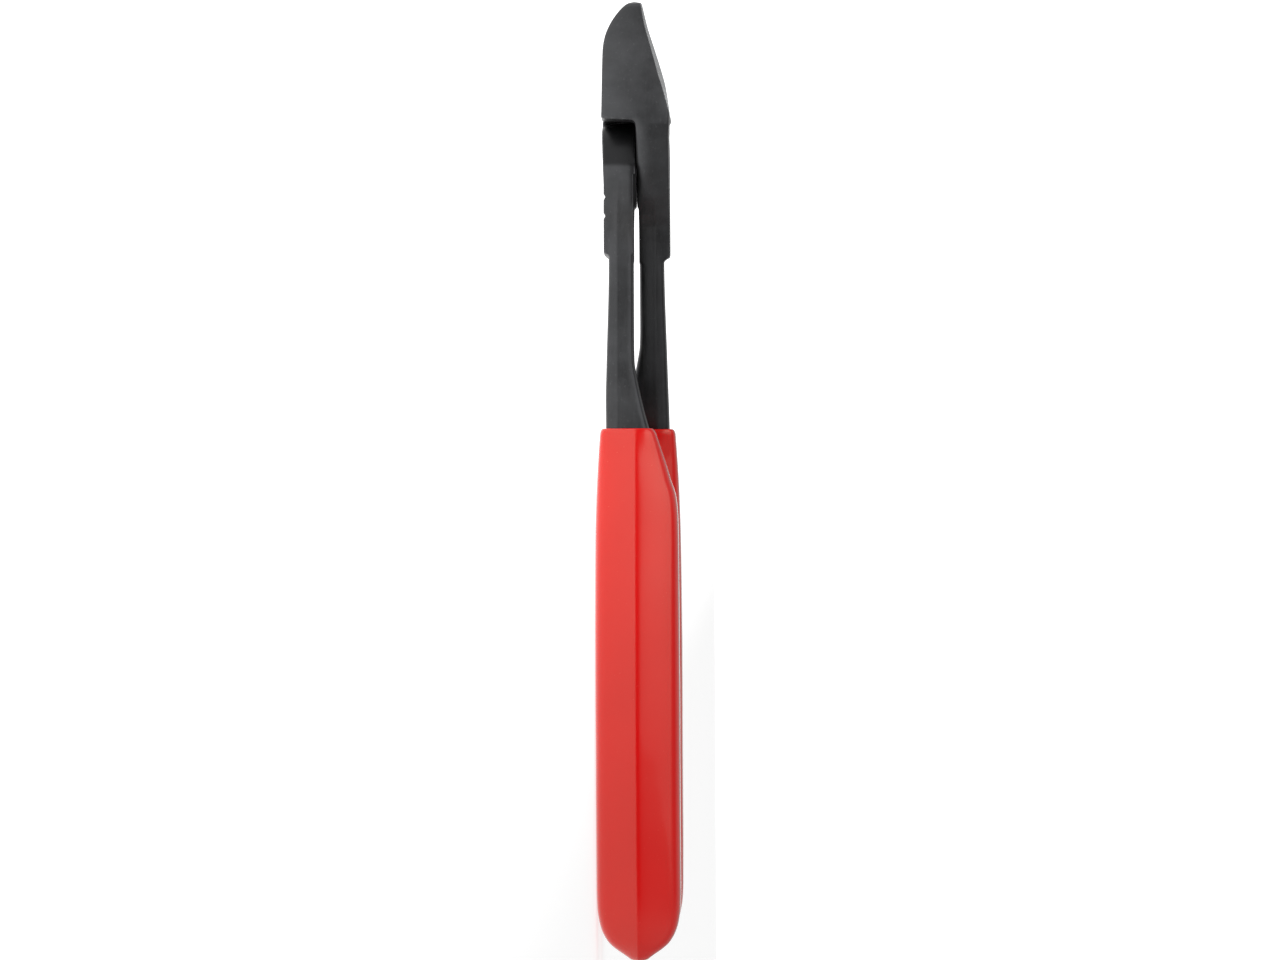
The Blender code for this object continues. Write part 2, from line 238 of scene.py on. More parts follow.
def relax(mesh, rounds, share):
    co, ends = coordinates(mesh), edgeEnds(mesh)
    for _ in range(rounds):
        co += share[:, None] * (spread(co, ends, len(co)) - co)
    mesh.vertices.foreach_set("co", co.ravel())
    mesh.update()


jointShape = {
    "pivot": 0.0340, "disc": 0.0089, "half": 0.0068, "bossEnd": 0.0544, "bossBevel": 0.0012,
    "lapGap": 0.0003, "lapFace": 0.0001, "rubbedDepth": 0.004,
    "relief": {1: 0.00035, -1: 0.0006},  # depth by hand
    "reliefStart": 0.0362, "reliefDisc": 0.0089, "chamfer": 0.0006,
    "grooves": (0.0451, 0.0411), "grooveDepth": 0.0004, "grooveReach": 0.0012,
}
jawShape = {
    "shoulder": 0.0254, "draft": 0.13, "edgeEnd": 0.0226, "heelHole": 0.0011, "land": 0.00025,
    "edgeGap": 0.00003, "grooveAngle": radians(31), "grooveTurn": 0.0185, "grooveTurnReach": 0.0060,
    "faceTilt": 0.098, "faceEnd": 0.0235, "faceEndReach": 0.0075,
    "back": [(0.0009, 0.0036), (0.0040, 0.0054), (0.0090, 0.0078), (0.0150, 0.0103),
             (0.0205, 0.0121), (0.0242, 0.0128), (0.0261, 0.0129)],
    "crossing": [(0.0290, 0.0121), (0.0325, 0.0106), (0.0365, 0.0082), (0.0405, 0.0053),
                 (0.0440, 0.0022), (0.0472, -0.0003), (0.0500, -0.0010)],
    "bossSide": [(0.0344, 0.0092), (0.0354, 0.0096), (0.0380, 0.0100), (0.0440, 0.0104), (0.0530, 0.0106)],
    "edge": [(-0.0020, 0.0008), (0.0012, 0.0016), (0.0050, 0.0025), (0.0085, 0.0036), (0.0140, 0.0053),
             (0.0170, 0.0061), (0.0200, 0.0066), (0.0225, 0.0069), (0.0250, 0.0071), (0.0280, 0.0078)],
    "front": [(-0.0003, -0.0004), (0.0, 0.0012), (0.0004, 0.0040), (0.0060, 0.0072), (0.0254, 0.0070)],
    "rear": [(0.0, -0.0016), (0.0005, -0.0023), (0.0013, -0.0031), (0.0028, -0.0043), (0.0050, -0.0056),
             (0.0074, -0.0065), (0.0100, -0.0069), (0.0140, -0.0070), (0.0225, -0.0071), (0.0270, -0.00725)],
}
handleShape = {
    "inner": [(0.045, 0.0009), (0.055, 0.0011), (0.065, 0.0017), (0.075, 0.0027), (0.089, 0.0044),
              (0.110, 0.0073), (0.130, 0.0091), (0.150, 0.0096), (0.170, 0.0089), (0.198, 0.0066)],
    "outer": [(0.045, 0.0103), (0.055, 0.0112), (0.065, 0.0120), (0.075, 0.0130), (0.089, 0.0152),
              (0.110, 0.0197), (0.130, 0.0226), (0.150, 0.0234), (0.170, 0.0227), (0.198, 0.0192)],
    "face": [(0.045, 0.0055), (0.054, 0.0055), (0.075, 0.0060), (0.090, 0.0064), (0.107, 0.0066),
             (0.140, 0.00675), (0.184, 0.00675), (0.198, 0.0065)],
    "lap": [(0.045, -0.00065), (0.070, -0.00065), (0.0755, -0.00055), (0.0785, -0.0001),
            (0.0815, 0.0005), (0.0850, 0.0013), (0.0900, 0.00265), (0.1035, 0.0060),
            (0.1075, 0.0066), (0.140, 0.00675), (0.184, 0.00675), (0.198, 0.0065)],
    "farLapShift": 0.0038, "farLapRise": (0.062, 0.072), "farLapFall": (0.080, 0.089), "farLapLift": 0.0003,
    "nearFaceLift": 0.00028, "nearFaceFall": (0.080, 0.092), "end": 0.1981, "taper": 0.0120,
    "shankRounding": 7.0, "tangRounding": 2.9, "sleeveRounding": 4.8, "roundingSpan": (0.084, 0.108),
    # share of the full size, against the share of the way in from the blunt end
    "sideNarrowing": [(0, 0), (0.012, 0.11), (0.037, 0.20), (0.104, 0.35), (0.163, 0.49),
                      (0.226, 0.625), (0.289, 0.73), (0.352, 0.80), (0.415, 0.855),
                      (0.474, 0.895), (0.60, 0.95), (0.80, 0.99), (1, 1)],
    "planNarrowing": [(0, 0), (0.012, 0.26), (0.037, 0.44), (0.104, 0.60), (0.226, 0.77),
                      (0.352, 0.87), (0.60, 0.965), (0.80, 0.99), (1, 1)],
}
leverLook = {
    "voxel": 0.00025, "levels": 33, "shankStart": 0.0470,
    "shankEnd": 0.112,  # inside the sleeve
    "jawCrown": 0.00075, "jawHalf": 0.0072, "jawEnd": (0.0250, 0.0275),
    "jointCrown": 0.00095, "jointCrownMiddle": 0.0018, "jointCrownReach": 0.0050,
    "jointEnd": (0.0370, 0.0460),
    "ridge": 0.00014, "ridgeWidth": 0.00045, "ridgeHeight": 0.0039, "ridgeEnd": 0.106,
    "sideCrown": 0.00018, "sideCrownReach": 0.003,
    "rounds": 5, "filletRounds": 60, "shoulderShare": 0.35,
}


def shankRing(s, hand, points=88):
    shape = handleShape
    rule = {key: float(smoothRule(shape[key])(s)) for key in ("inner", "outer", "face", "lap")}
    if hand > 0:  # this lever swells towards the other a little sooner
        sooner = shape["farLapShift"] * float(band(s, shape["farLapRise"], shape["farLapFall"]))
        rule["lap"] = float(smoothRule(shape["lap"])(s + sooner)) + shape["farLapLift"]
    else:
        rule["face"] += shape["nearFaceLift"] * float(1 - smoothStep(*shape["nearFaceFall"], s))
    halfY, halfZ = (rule["outer"] - rule["inner"]) / 2, (rule["face"] + rule["lap"]) / 2
    midY, midZ = -hand * (rule["outer"] + rule["inner"]) / 2, hand * (rule["face"] - rule["lap"]) / 2
    rounder = float(smoothStep(*shape["roundingSpan"], s))
    power = shape["shankRounding"] + (shape["tangRounding"] - shape["shankRounding"]) * rounder
    ring = []
    for i in range(points):
        a = 2 * pi * (i + 0.5) / points
        reach = (abs(cos(a)) ** power + abs(sin(a)) ** power) ** (-1 / power)
        ring.append(place(s, midY + halfY * reach * cos(a), midZ + halfZ * reach * sin(a)))
    return ring


def crown(s, z, hand):  # how far the head's sides lean in, away from the middle of their height
    look = leverLook
    inJaw = 1 - smoothStep(*look["jawEnd"], s)
    inJoint = (1 - inJaw) * (1 - smoothStep(*look["jointEnd"], s))
    fromMiddle = np.clip((z * hand - look["jointCrownMiddle"]) / look["jointCrownReach"], -0.5, 1)
    jaw = look["jawCrown"] * inJaw * (z / look["jawHalf"]) ** 2
    return jaw + look["jointCrown"] * inJoint * fromMiddle ** 2


def headBlank(name, hand):  # the plan outline, crowned level by level, cut to the side outline
    pivot, disc, half = jointShape["pivot"], jointShape["disc"], jointShape["half"]
    end, bevel, gap = jointShape["bossEnd"], jointShape["bossBevel"], jawShape["edgeGap"]
    outline = [(-0.0003, gap), (-0.0003, 0.0016), (0.0002, 0.0028)]
    outline += sampled(jawShape["back"], 48) + sampled(jawShape["crossing"], 48)
    outline += [(end, -0.0011)] + [(s, -y) for s, y in sampled(jawShape["bossSide"], 24)[::-1]]
    outline += arc(pivot, disc, pi, pi / 2 + 0.01, 40) + [(pivot - disc, gap)]
    plan = np.array(outline)
    along = np.roll(plan, -1, 0) - np.roll(plan, 1, 0)
    inward = np.stack([-along[:, 1], along[:, 0]], 1) / np.linalg.norm(along, axis=1)[:, None]
    onCrossing = 60  # a point of the outline whose inward side faces the middle of the jaw
    inward *= np.sign((inward[onCrossing] * (np.array((0.020, 0.002)) - plan[onCrossing])).sum())
    inward[plan[:, 1] == gap] = 0
    top = half + 0.0012
    levels = []
    for z in np.linspace(-top, top, leverLook["levels"]):
        crowned = plan + inward * crown(plan[:, 0], z, hand)[:, None]
        levels.append([place(s, hand * y, z) for s, y in crowned])
    side = jawShape["front"] + [(jawShape["shoulder"] + 0.0025, half), (end - bevel, half)]
    side += [(end, 0.0052), (end, -0.0052), (end - bevel, -half), (0.0385, -half)]
    side += sampled(jawShape["rear"], 50)[::-1]
    sideTool = loft("side", [[place(s, y, z) for s, z in side] for y in (-0.02, 0.02)])
    return carve(loft(name, levels), "INTERSECT", sideTool)


def lapTool(hand):  # what a lever gives up to the other lever's half
    pivot, shoulder = jointShape["pivot"], jointShape["disc"] + jointShape["lapGap"]
    rings = []
    for depth in (-jointShape["lapFace"] / 2, 0.0095):
        wall = jawShape["shoulder"] - jawShape["draft"] * depth
        start = asin(min((pivot - wall) / shoulder, 0.985))
        outline = arc(pivot, shoulder, start, pi / 2, 30)
        outline += [(pivot - shoulder, -0.014), (0.058, -0.014), (0.058, 0.018), (wall, 0.018)]
        rings.append([place(s, hand * y, -hand * depth) for s, y in outline])
    return loft("lap", rings)


def reliefTool(hand):  # a shallow step in the inner face, round the raised disc
    start, pivot, disc = jointShape["reliefStart"], jointShape["pivot"], jointShape["reliefDisc"]
    outer = [(start, 0.020), (0.060, 0.020), (0.060, -0.020), (start, -0.020)]
    meeting = acos((start - pivot) / disc)
    steps = [(-0.001, 0), (jointShape["lapGap"] / 2, 0), (jointShape["relief"][hand], jointShape["chamfer"])]
    rings = []
    for depth, wider in steps:
        angles = np.linspace(-meeting, meeting, 65)
        rim = [(pivot + (disc + wider) * cos(a), (disc + wider) * sin(a)) for a in angles]
        rings.append([place(s, hand * y, hand * depth) for s, y in outer + rim])
    return loft("relief", rings)


def faceTool(hand):  # everything in front of the ground face, which falls away from the edge
    edge, reach = smoothRule(jawShape["edge"]), 0.016
    rings = []
    for s in np.linspace(jawShape["edge"][0][0], jawShape["edge"][-1][0], 60):
        z = float(edge(s))
        steep = float(np.clip((jawShape["faceEnd"] - s) / jawShape["faceEndReach"], 0, 1))
        fall = jawShape["faceTilt"] * reach * steep
        rings.append([place(s, -hand * 0.001, z), place(s, hand * reach, z - fall),
                      place(s, hand * reach, 0.012), place(s, -hand * 0.001, 0.012)])
    return loft("face", rings)


def hollowTool(hand):  # the V behind the cutting edge, whose slope turns upright where the edge ends
    edge, floor = smoothRule(jawShape["edge"]), -0.009
    rings = []
    turn = jawShape["grooveTurn"]
    for s in np.concatenate([np.linspace(-0.002, turn, 24), np.linspace(0.0190, 0.0240, 14)]):
        top = float(edge(s)) - jawShape["land"]
        share = 1 - float(np.clip((s - turn) / jawShape["grooveTurnReach"], 0, 1)) ** 2
        wide = (top - floor) * tan(jawShape["grooveAngle"]) * share
        rings.append([place(s, -hand * 0.002, top), place(s, hand * jawShape["edgeGap"], top),
                      place(s, hand * (jawShape["edgeGap"] + wide), floor), place(s, -hand * 0.002, floor)])
    return loft("hollow", rings)


rivetLook = {
    "radius": 0.0036, "head": 0.0053, "headBevel": 0.0006, "headDepth": 0.0022, "dome": 0.0001,
    "play": 0.0001, "rise": 0.00005, "rings": 15, "ringHeights": (-0.000006, 0.000012),
    "colour": (0.30, 0.305, 0.315), "roughness": 0.34,
}


def rivetProfile(play):
    half, rivet = jointShape["half"], rivetLook
    radius, head = rivet["radius"] + play, rivet["head"] + play
    upper = [(head - rivet["headBevel"], half + rivet["dome"]), (head, half - 0.0002)]
    upper.append((radius, half - rivet["headDepth"]))
    return upper + [(r, -z) for r, z in reversed(upper)]


def boreTool():
    head, reach = rivetLook["head"] + rivetLook["play"], jointShape["half"] + 0.002
    inner = rivetProfile(rivetLook["play"])[1:-1]
    return turned("bore", [(0, reach), (head, reach)] + inner + [(head, -reach), (0, -reach)])


forging = {
    "tip": 0.006, "tipShare": 0.15,  # the tip is rounded less
    "filletRise": (0.0245, 0.0275), "filletFall": (0.0360, 0.0440), "filletHeight": (0.0012, 0.0030),
    "filletSide": (0.0035, 0.0060),
    "shoulderRise": (0.0232, 0.0245), "shoulderFall": (0.0260, 0.0275), "shoulderHeight": (0.0035, 0.0062),
}


def forge(mesh, hand):  # parting ridge, draft and fillets of the forging
    look = leverLook
    co, normal = coordinates(mesh), coordinates(mesh, "normal")
    s, y, z = tipX - co[:, 0], co[:, 1], co[:, 2] - lapZ
    sideways = np.hypot(normal[:, 0], normal[:, 1]) ** 3
    height, reach = z * hand - look["ridgeHeight"], look["sideCrownReach"]
    ridge = look["ridge"] * np.exp(-(height / look["ridgeWidth"]) ** 2)
    lean = look["sideCrown"] * (np.clip(height, -reach, reach) / reach) ** 2
    away = (ridge - lean) * smoothStep(*look["jointEnd"], s)
    flat = normal[:, :2] / np.maximum(np.linalg.norm(normal[:, :2], axis=1), 1e-6)[:, None]
    co[:, :2] += flat * (away * sideways * (s < look["ridgeEnd"]))[:, None]
    mesh.vertices.foreach_set("co", co.ravel())
    mesh.update()
    tip = np.clip(s / forging["tip"], forging["tipShare"], 1)
    relax(mesh, look["rounds"], 0.5 * tip)
    fillet = band(s, forging["filletRise"], forging["filletFall"])
    fillet *= 1 - smoothStep(*forging["filletHeight"], abs(z))
    fillet *= smoothStep(*forging["filletSide"], y * hand)
    shoulder = band(s, forging["shoulderRise"], forging["shoulderFall"]) * (z * hand < jointShape["lapGap"])
    shoulder *= 1 - 0.85 * smoothStep(*forging["shoulderHeight"], abs(z))
    relax(mesh, look["filletRounds"], 0.5 * np.maximum(fillet, look["shoulderShare"] * shoulder))


# Where the painted shade rises and falls, by station, by height from the lap plane and by width from the
# middle.
wearAndPaintedShade = {
    "disc": ((0.0240, 0.0250), (0.0338, 0.0349)),
    "rim": ((0.0260, 0.0275), (0.0415, 0.0440)), "rimHeight": (0.0007, 0.0017), "rimWidth": -0.004,
    "underside": ((0.0236, 0.0242), (0.0262, 0.0270)), "undersideWidth": (0.0040, 0.0090),
    "gapEdge": ((0.0425, 0.0445), (0.0760, 0.0800)), "gapEdgeHeight": (0.0005, 0.0013),
    "innerSide": (0.043, 0.050),
    "wear": 0.0006,  # wear for each unit of bend
}


def markWearAndPaintedShade(mesh, hand):  # rubbed where it is convex, with painted shade in the recess and on the inner side
    co, normal, ends = coordinates(mesh), coordinates(mesh, "normal"), edgeEnds(mesh)
    a, b = ends
    across = co[a] - co[b]
    bend = np.einsum("ij,ij->i", normal[a] - normal[b], across) / np.maximum((across**2).sum(1), 1e-9)
    count = len(co)
    number = np.maximum(np.bincount(a, minlength=count) + np.bincount(b, minlength=count), 1)
    convex = ((np.bincount(a, bend, count) + np.bincount(b, bend, count)) / number)[:, None]
    for _ in range(2):
        convex = 0.5 * convex + 0.5 * spread(convex, ends, count)
    s, y, z = tipX - co[:, 0], co[:, 1] * hand, (co[:, 2] - lapZ) * hand
    inner = z > -jointShape["lapGap"]
    upright = 1 - smoothStep(0.3, 0.7, abs(normal[:, 2]))
    disc = band(s, *wearAndPaintedShade["disc"]) * (y < 0.0005) * inner
    rim = band(s, *wearAndPaintedShade["rim"]) * (y < wearAndPaintedShade["rimWidth"])
    rim *= (1 - smoothStep(*wearAndPaintedShade["rimHeight"], z)) * inner
    underside = band(s, *wearAndPaintedShade["underside"]) * (z < 0.0002)
    underside *= (1 - smoothStep(*wearAndPaintedShade["undersideWidth"], y)) * smoothStep(0.2, 0.5, -normal[:, 0])
    if hand > 0:  # painted shade on this lever's edge along the gap
        shade = band(s, *wearAndPaintedShade["gapEdge"])
        shade *= 1 - smoothStep(*wearAndPaintedShade["gapEdgeHeight"], z)
        rim += shade * smoothStep(0.0, 0.3, normal[:, 1])
    innerSide = 0.5 * smoothStep(0.3, 0.8, normal[:, 1] * hand) * smoothStep(*wearAndPaintedShade["innerSide"], s)
    # painted shade: darkening of the recess, rim, underside and inner side, kept as a point attribute
    soot = (disc + rim + underside) * upright + innerSide
    for name, value in (("wear", convex[:, 0] * wearAndPaintedShade["wear"]), ("soot", soot)):
        mark = mesh.attributes.new(name, "FLOAT", "POINT")
        mark.data.foreach_set("value", np.clip(value, 0, 1).astype(np.float32))


def plate(name, outline, heights):  # a flat outline raised along Z
    return loft(name, [[place(s, y, z) for s, y in outline] for z in heights])


def makeLever(name, hand, steel, ground):
    lever = headBlank(name, hand)
    carve(lever, "DIFFERENCE", lapTool(hand))
    stations = np.concatenate([[leverLook["shankStart"]], np.linspace(0.0500, leverLook["shankEnd"], 64)])
    carve(lever, "UNION", loft("shank", [shankRing(float(s), hand) for s in stations]))
    fine = lever.modifiers.new("Fine", "REMESH")
    fine.mode = "VOXEL"
    fine.voxel_size = leverLook["voxel"]
    settle(lever)
    forge(lever.data, hand)
    lever.data.materials.clear()
    lever.data.materials.append(steel)
    carve(lever, "DIFFERENCE", faceTool(hand), ground)
    carve(lever, "DIFFERENCE", hollowTool(hand), ground)
    heel = arc(jawShape["edgeEnd"], jawShape["heelHole"], 0, 2 * pi * 47 / 48, 48)
    carve(lever, "DIFFERENCE", plate("heel", heel, (-0.01, 0.01)), steel)
    carve(lever, "DIFFERENCE", reliefTool(hand), steel)
    lapSide = [(0.0290, -0.02), (0.0560, -0.02), (0.0560, 0.02), (0.0290, 0.02)]
    rubbed = sorted((jointShape["lapFace"] * hand, -jointShape["rubbedDepth"] * hand))
    carve(lever, "DIFFERENCE", plate("rubbed", lapSide, rubbed), steel)
    carve(lever, "DIFFERENCE", boreTool(), steel)
    if hand < 0:
        reach, low = jointShape["grooveReach"], -jointShape["half"]
        for s in jointShape["grooves"]:
            vee = [(s - reach, low - 0.0003), (s, low + jointShape["grooveDepth"]), (s + reach, low - 0.0003)]
            veeTool = loft("vee", [[place(a, y, z) for a, z in vee] for y in (-0.02, 0.02)])
            carve(lever, "DIFFERENCE", veeTool, steel)
    markWearAndPaintedShade(lever.data, hand)
    lever.data.shade_smooth()
    lever.data.set_sharp_from_angle(angle=radians(42))
    print(name, len(lever.data.polygons), "faces,", [m.name for m in lever.data.materials])
    return lever


# By the names of the tree's inputs.
sleeveShape = {
    "Mouth": 0.0894, "Lip": 0.0012, "Lip Reach": 0.0013, "Wall": 0.0020, "Thick From": 0.1150,
    "Play": 0.00015, "Roof": 0.19, "Ridge Width": 0.11, "Ridge Height": -0.0003, "Waviness": 0.00006,
}
sleeveRows, sleeveColumns = 232, 144


def ruled(station, points):  # a smooth rule of the station as a Float Curve
    stations, values = np.array(points, float).T
    low, high = stations[0], stations[-1]
    floor, top = values.min(), values.max()
    rule = smoothRule(points)
    at = np.linspace(0, 1, 26)
    curve = [(float(u), float((rule(low + u * (high - low)) - floor) / (top - floor))) for u in at]
    share = station.node("ShaderNodeFloatCurve", {"curve": curve}, {"Value": station.ramp(low, high)})
    return share * float(top - floor) + float(floor)


def sleeveTree():
    tree = bpy.data.node_groups.new("Dipped sleeve", "GeometryNodeTree")
    face = tree.interface
    face.new_socket("Geometry", in_out="INPUT", socket_type="NodeSocketGeometry")
    for name in [*sleeveShape, "Hand"]:
        face.new_socket(name, in_out="INPUT", socket_type="NodeSocketFloat")
    face.new_socket("Vinyl", in_out="INPUT", socket_type="NodeSocketMaterial")
    face.new_socket("Geometry", in_out="OUTPUT", socket_type="NodeSocketGeometry")
    given = tree.nodes.new("NodeGroupInput")
    size = {name: Wire(tree, given.outputs[name]) for name in [*sleeveShape, "Hand", "Vinyl"]}
    w = Wire(tree)

    grid = w.node("GeometryNodeMeshGrid", {}, {"Size X": 1.0, "Size Y": 1.0,
                                               "Vertices X": sleeveRows, "Vertices Y": sleeveColumns + 1})
    spot = w.node("GeometryNodeInputPosition")
    apart = spot.node("ShaderNodeSeparateXYZ", {}, {0: spot})
    row = apart + 0.5
    angle = (apart.output(1) + 0.5) * (2 * pi)

    # Down the outer skin from the blind end, round the lip, and back up the inner skin.
    endStation, taper = handleShape["end"], handleShape["taper"]
    bodyRow, lipRow, insideRow, insideEndRow = 0.24, 0.68, 0.76, 0.92
    blunt, body, lip = row.ramp(0, bodyRow), row.ramp(bodyRow, lipRow), row.ramp(lipRow, insideRow)
    inside, insideEnd = row.ramp(insideRow, insideEndRow), row.ramp(insideEndRow, 1.0)
    lipStart = size["Mouth"] + size["Lip Reach"]
    outerEnd = size["Wall"] + endStation
    reach = size["Wall"] + taper
    innerReach = size["Play"] + taper
    innerEnd = size["Play"] + endStation
    roll = lip * pi
    station = outerEnd - reach * blunt * blunt - (outerEnd - reach - lipStart) * body
    station = station - size["Lip Reach"] * roll.math("SINE", roll)
    station = station + (innerEnd - innerReach - lipStart) * inside
    station = station + innerReach * (1 - (1 - insideEnd) * (1 - insideEnd))
    thick = w.node("ShaderNodeMapRange", {}, {0: station, 1: size["Mouth"], 2: size["Thick From"]})
    thick = size["Lip"] + (size["Wall"] - size["Lip"]) * (1 - (1 - thick) * (1 - thick))
    outset = size["Play"] + (thick - size["Play"]) * (roll.math("COSINE", roll) * 0.5 + 0.5)

    inner, outer = ruled(station, handleShape["inner"]), ruled(station, handleShape["outer"])
    faceZ, lapSide = ruled(station, handleShape["face"]), ruled(station, handleShape["lap"])
    left = (outset + endStation - station) / (outset + taper)
    halfY = ((outer - inner) * 0.5 + outset) * ruled(left, handleShape["planNarrowing"])
    halfZ = ((faceZ + lapSide) * 0.5 + outset) * ruled(left, handleShape["sideNarrowing"])
    power = station.ramp(*handleShape["roundingSpan"], handleShape["shankRounding"],
                         handleShape["sleeveRounding"], "SMOOTHSTEP")

    # A rounded rectangle whose outward back rises to a soft ridge.
    across, up = angle.math("COSINE", angle), angle.math("SINE", angle)
    radius = (abs(across) ** power + abs(up) ** power) ** (-1 / power)
    height = radius * up
    middle = size["Hand"] * (faceZ - lapSide) * 0.5
    lean = height + (middle - size["Ridge Height"]) / halfZ
    width = size["Ridge Width"]
    crest = (lean * lean + width * width) ** 0.5 - width
    roofed = 1 - size["Roof"] * crest * station.ramp(0.0894, 0.0960, 0.35, 1.0, "SMOOTHSTEP")
    around = w.node("ShaderNodeCombineXYZ", {}, {0: station, 1: across * 0.008, 2: up * 0.008})
    wave = w.node("ShaderNodeTexNoise", {"noise_dimensions": "4D"},
                  {"Vector": around, "W": size["Hand"] * 3.7, "Scale": 60.0, "Detail": 1.0})
    swell = (wave - 0.5) * size["Waviness"] * 2 * (1 - lip) * row.ramp(0.0, 0.2)
    y = size["Hand"] * (outer + inner) * -0.5 + (halfY * roofed + swell) * radius * across
    z = middle + (halfZ + swell) * height
    where = w.node("ShaderNodeCombineXYZ", {}, {0: tipX - station, 1: y, 2: z + lapZ})
    skin = w.node("GeometryNodeSetPosition", {}, {"Geometry": grid, "Position": where})
    skin = w.node("GeometryNodeMergeByDistance", {}, {"Geometry": skin, "Distance": 1e-7})
    skin = w.node("GeometryNodeRealizeInstances", {}, {0: skin})
    skin = w.node("GeometryNodeSetMaterial", {}, {"Geometry": skin, "Material": size["Vinyl"]})
    out = tree.nodes.new("NodeGroupOutput")
    tree.links.new(skin.socket, out.inputs[0])
    return tree


def makeSleeve(name, hand, tree, vinyl):
    sleeve = bpy.data.objects.new(name, bpy.data.meshes.new(name))
    scene.collection.objects.link(sleeve)
    dip = sleeve.modifiers.new("Dip", "NODES")
    dip.node_group = tree
    values = {**sleeveShape, "Hand": float(hand), "Vinyl": vinyl}
    for socket in tree.interface.items_tree:
        if socket.in_out == "INPUT" and socket.name in values:
            dip[socket.identifier] = values[socket.name]
    settle(sleeve)
    bm = bmesh.new()
    bm.from_mesh(sleeve.data)
    bmesh.ops.recalc_face_normals(bm, faces=bm.faces)
    bm.to_mesh(sleeve.data)
    bm.free()
    sleeve.data.shade_smooth()
    print(name, len(sleeve.data.polygons), "faces")
    return sleeve


def makeRivet(name, steel):
    look, top = rivetLook, jointShape["half"] + rivetLook["dome"]
    dome = [(0, top + look["rise"])]
    for i in range(1, look["rings"]):  # faint turning rings over a slight dome
        share = i / look["rings"]
        radius = (look["head"] - look["headBevel"]) * share
        dome.append((radius, top + look["rise"] * (1 - share**2) + look["ringHeights"][i % 2]))
    profile = dome + rivetProfile(0)
    profile += [(r, -z) for r, z in reversed(dome)]
    rivet = turned(name, profile)
    rivet.data.materials.append(steel)
    rivet.data.shade_smooth()
    rivet.data.set_sharp_from_angle(angle=radians(30))
    print(name, len(rivet.data.polygons), "faces")
    return rivet


def newMaterial(name, fixed):
    made = bpy.data.materials.new(name)
    made.use_nodes = True
    shader = made.node_tree.nodes["Principled BSDF"]
    for socket, value in fixed.items():
        shader.inputs[socket].default_value = value
    return made, Wire(made.node_tree), shader


def noise(w, coords, scale, detail=2.0, roughness=0.5, stretch=None):
    if stretch:
        coords = w.node("ShaderNodeMapping", {}, {"Vector": coords, "Scale": stretch})
    return w.node("ShaderNodeTexNoise", {},
                  {"Vector": coords, "Scale": scale, "Detail": detail, "Roughness": roughness})


def bump(w, height, distance, strength=1.0, under=None):
    sockets = {"Height": height, "Distance": distance, "Strength": strength}
    if under:
        sockets["Normal"] = under
    return w.node("ShaderNodeBump", {}, sockets)


def join(w, shader, **links):
    for name, wire in links.items():
        w.tree.links.new(wire.socket, shader.inputs[name.replace("_", " ")])


# Colours of the blackened steel; the near-black one is painted shade.
blackSteel = {
    "oxide": (0.042, 0.0427, 0.0445), "pale": (0.064, 0.065, 0.068), "brown": (0.054, 0.050, 0.047),
    "rubbed": (0.12, 0.12, 0.125), "soot": (0.009, 0.009, 0.0095), "metallic": 0.80,
    "roughness": (0.34, 0.46), "grain": 0.000010, "scale": 0.00003, "drawn": 0.000012,
}
groundSteel = {
    "base": (0.44, 0.455, 0.47), "dull": (0.32, 0.33, 0.34), "roughness": (0.20, 0.30), "lines": 0.000003,
}
redVinyl = {
    "red": (0.71, 0.0040, 0.0055), "deep": (0.67, 0.0030, 0.0045), "dust": (0.70, 0.06, 0.06),
    "roughness": (0.15, 0.21), "specularTint": (1.0, 0.98, 0.74), "coat": 0.36, "coatRoughness": 0.06,
    "coatTint": (1, 1, 0.92), "peel": 0.000006, "specks": 0.000005,
}


def blackenedSteel():
    look = blackSteel
    made, w, shader = newMaterial("blackened_steel", {"IOR": 1.5})
    here = w.node("ShaderNodeTexCoord", {}, {}, 3)
    wear = w.node("ShaderNodeAttribute", {"attribute_name": "wear"}, {}, 2)
    soot = w.node("ShaderNodeAttribute", {"attribute_name": "soot"}, {}, 2)
    cloud = noise(w, here, 130.0, 3.0, 0.6)
    speck = noise(w, here, 1500.0, 2.0, 0.6)
    fine = noise(w, here, 5200.0, 2.0, 0.55)
    drawn = noise(w, here, 1.0, 3.0, 0.6, (140.0, 2600.0, 2600.0))
    tone = mixColour(cloud.ramp(0.35, 0.70), look["oxide"], look["pale"])
    tone = mixColour(noise(w, here, 60.0, 2.0, 0.5).ramp(0.55, 0.80) * 0.5, tone, look["brown"])
    tone = mixColour(speck.ramp(0.62, 0.78) * 0.35, tone, look["rubbed"])
    rubbed = (wear + (speck - 0.5) * 0.35).ramp(0.40, 1.0)
    tone = mixColour(drawn.ramp(0.35, 0.75) * 0.30, tone, look["pale"])
    # painted shade: near-black mixed in where the soot attribute marks shaded places
    tone = mixColour(soot * 0.80, tone, look["soot"])
    tone = mixColour(rubbed * 0.5, tone, look["rubbed"])
    rough = cloud.ramp(0.30, 0.72, *look["roughness"]) + (fine - 0.5) * 0.10
    rough = rough + (drawn - 0.5) * 0.12 - rubbed * 0.10
    metal = rubbed * 0.2 + look["metallic"]
    skin = bump(w, fine, look["grain"])
    skin = bump(w, speck, look["scale"] * 0.6, 0.6, skin)
    skin = bump(w, drawn, look["drawn"], 0.7, skin)
    join(w, shader, Base_Color=tone, Roughness=rough, Metallic=metal, Normal=skin)
    return made


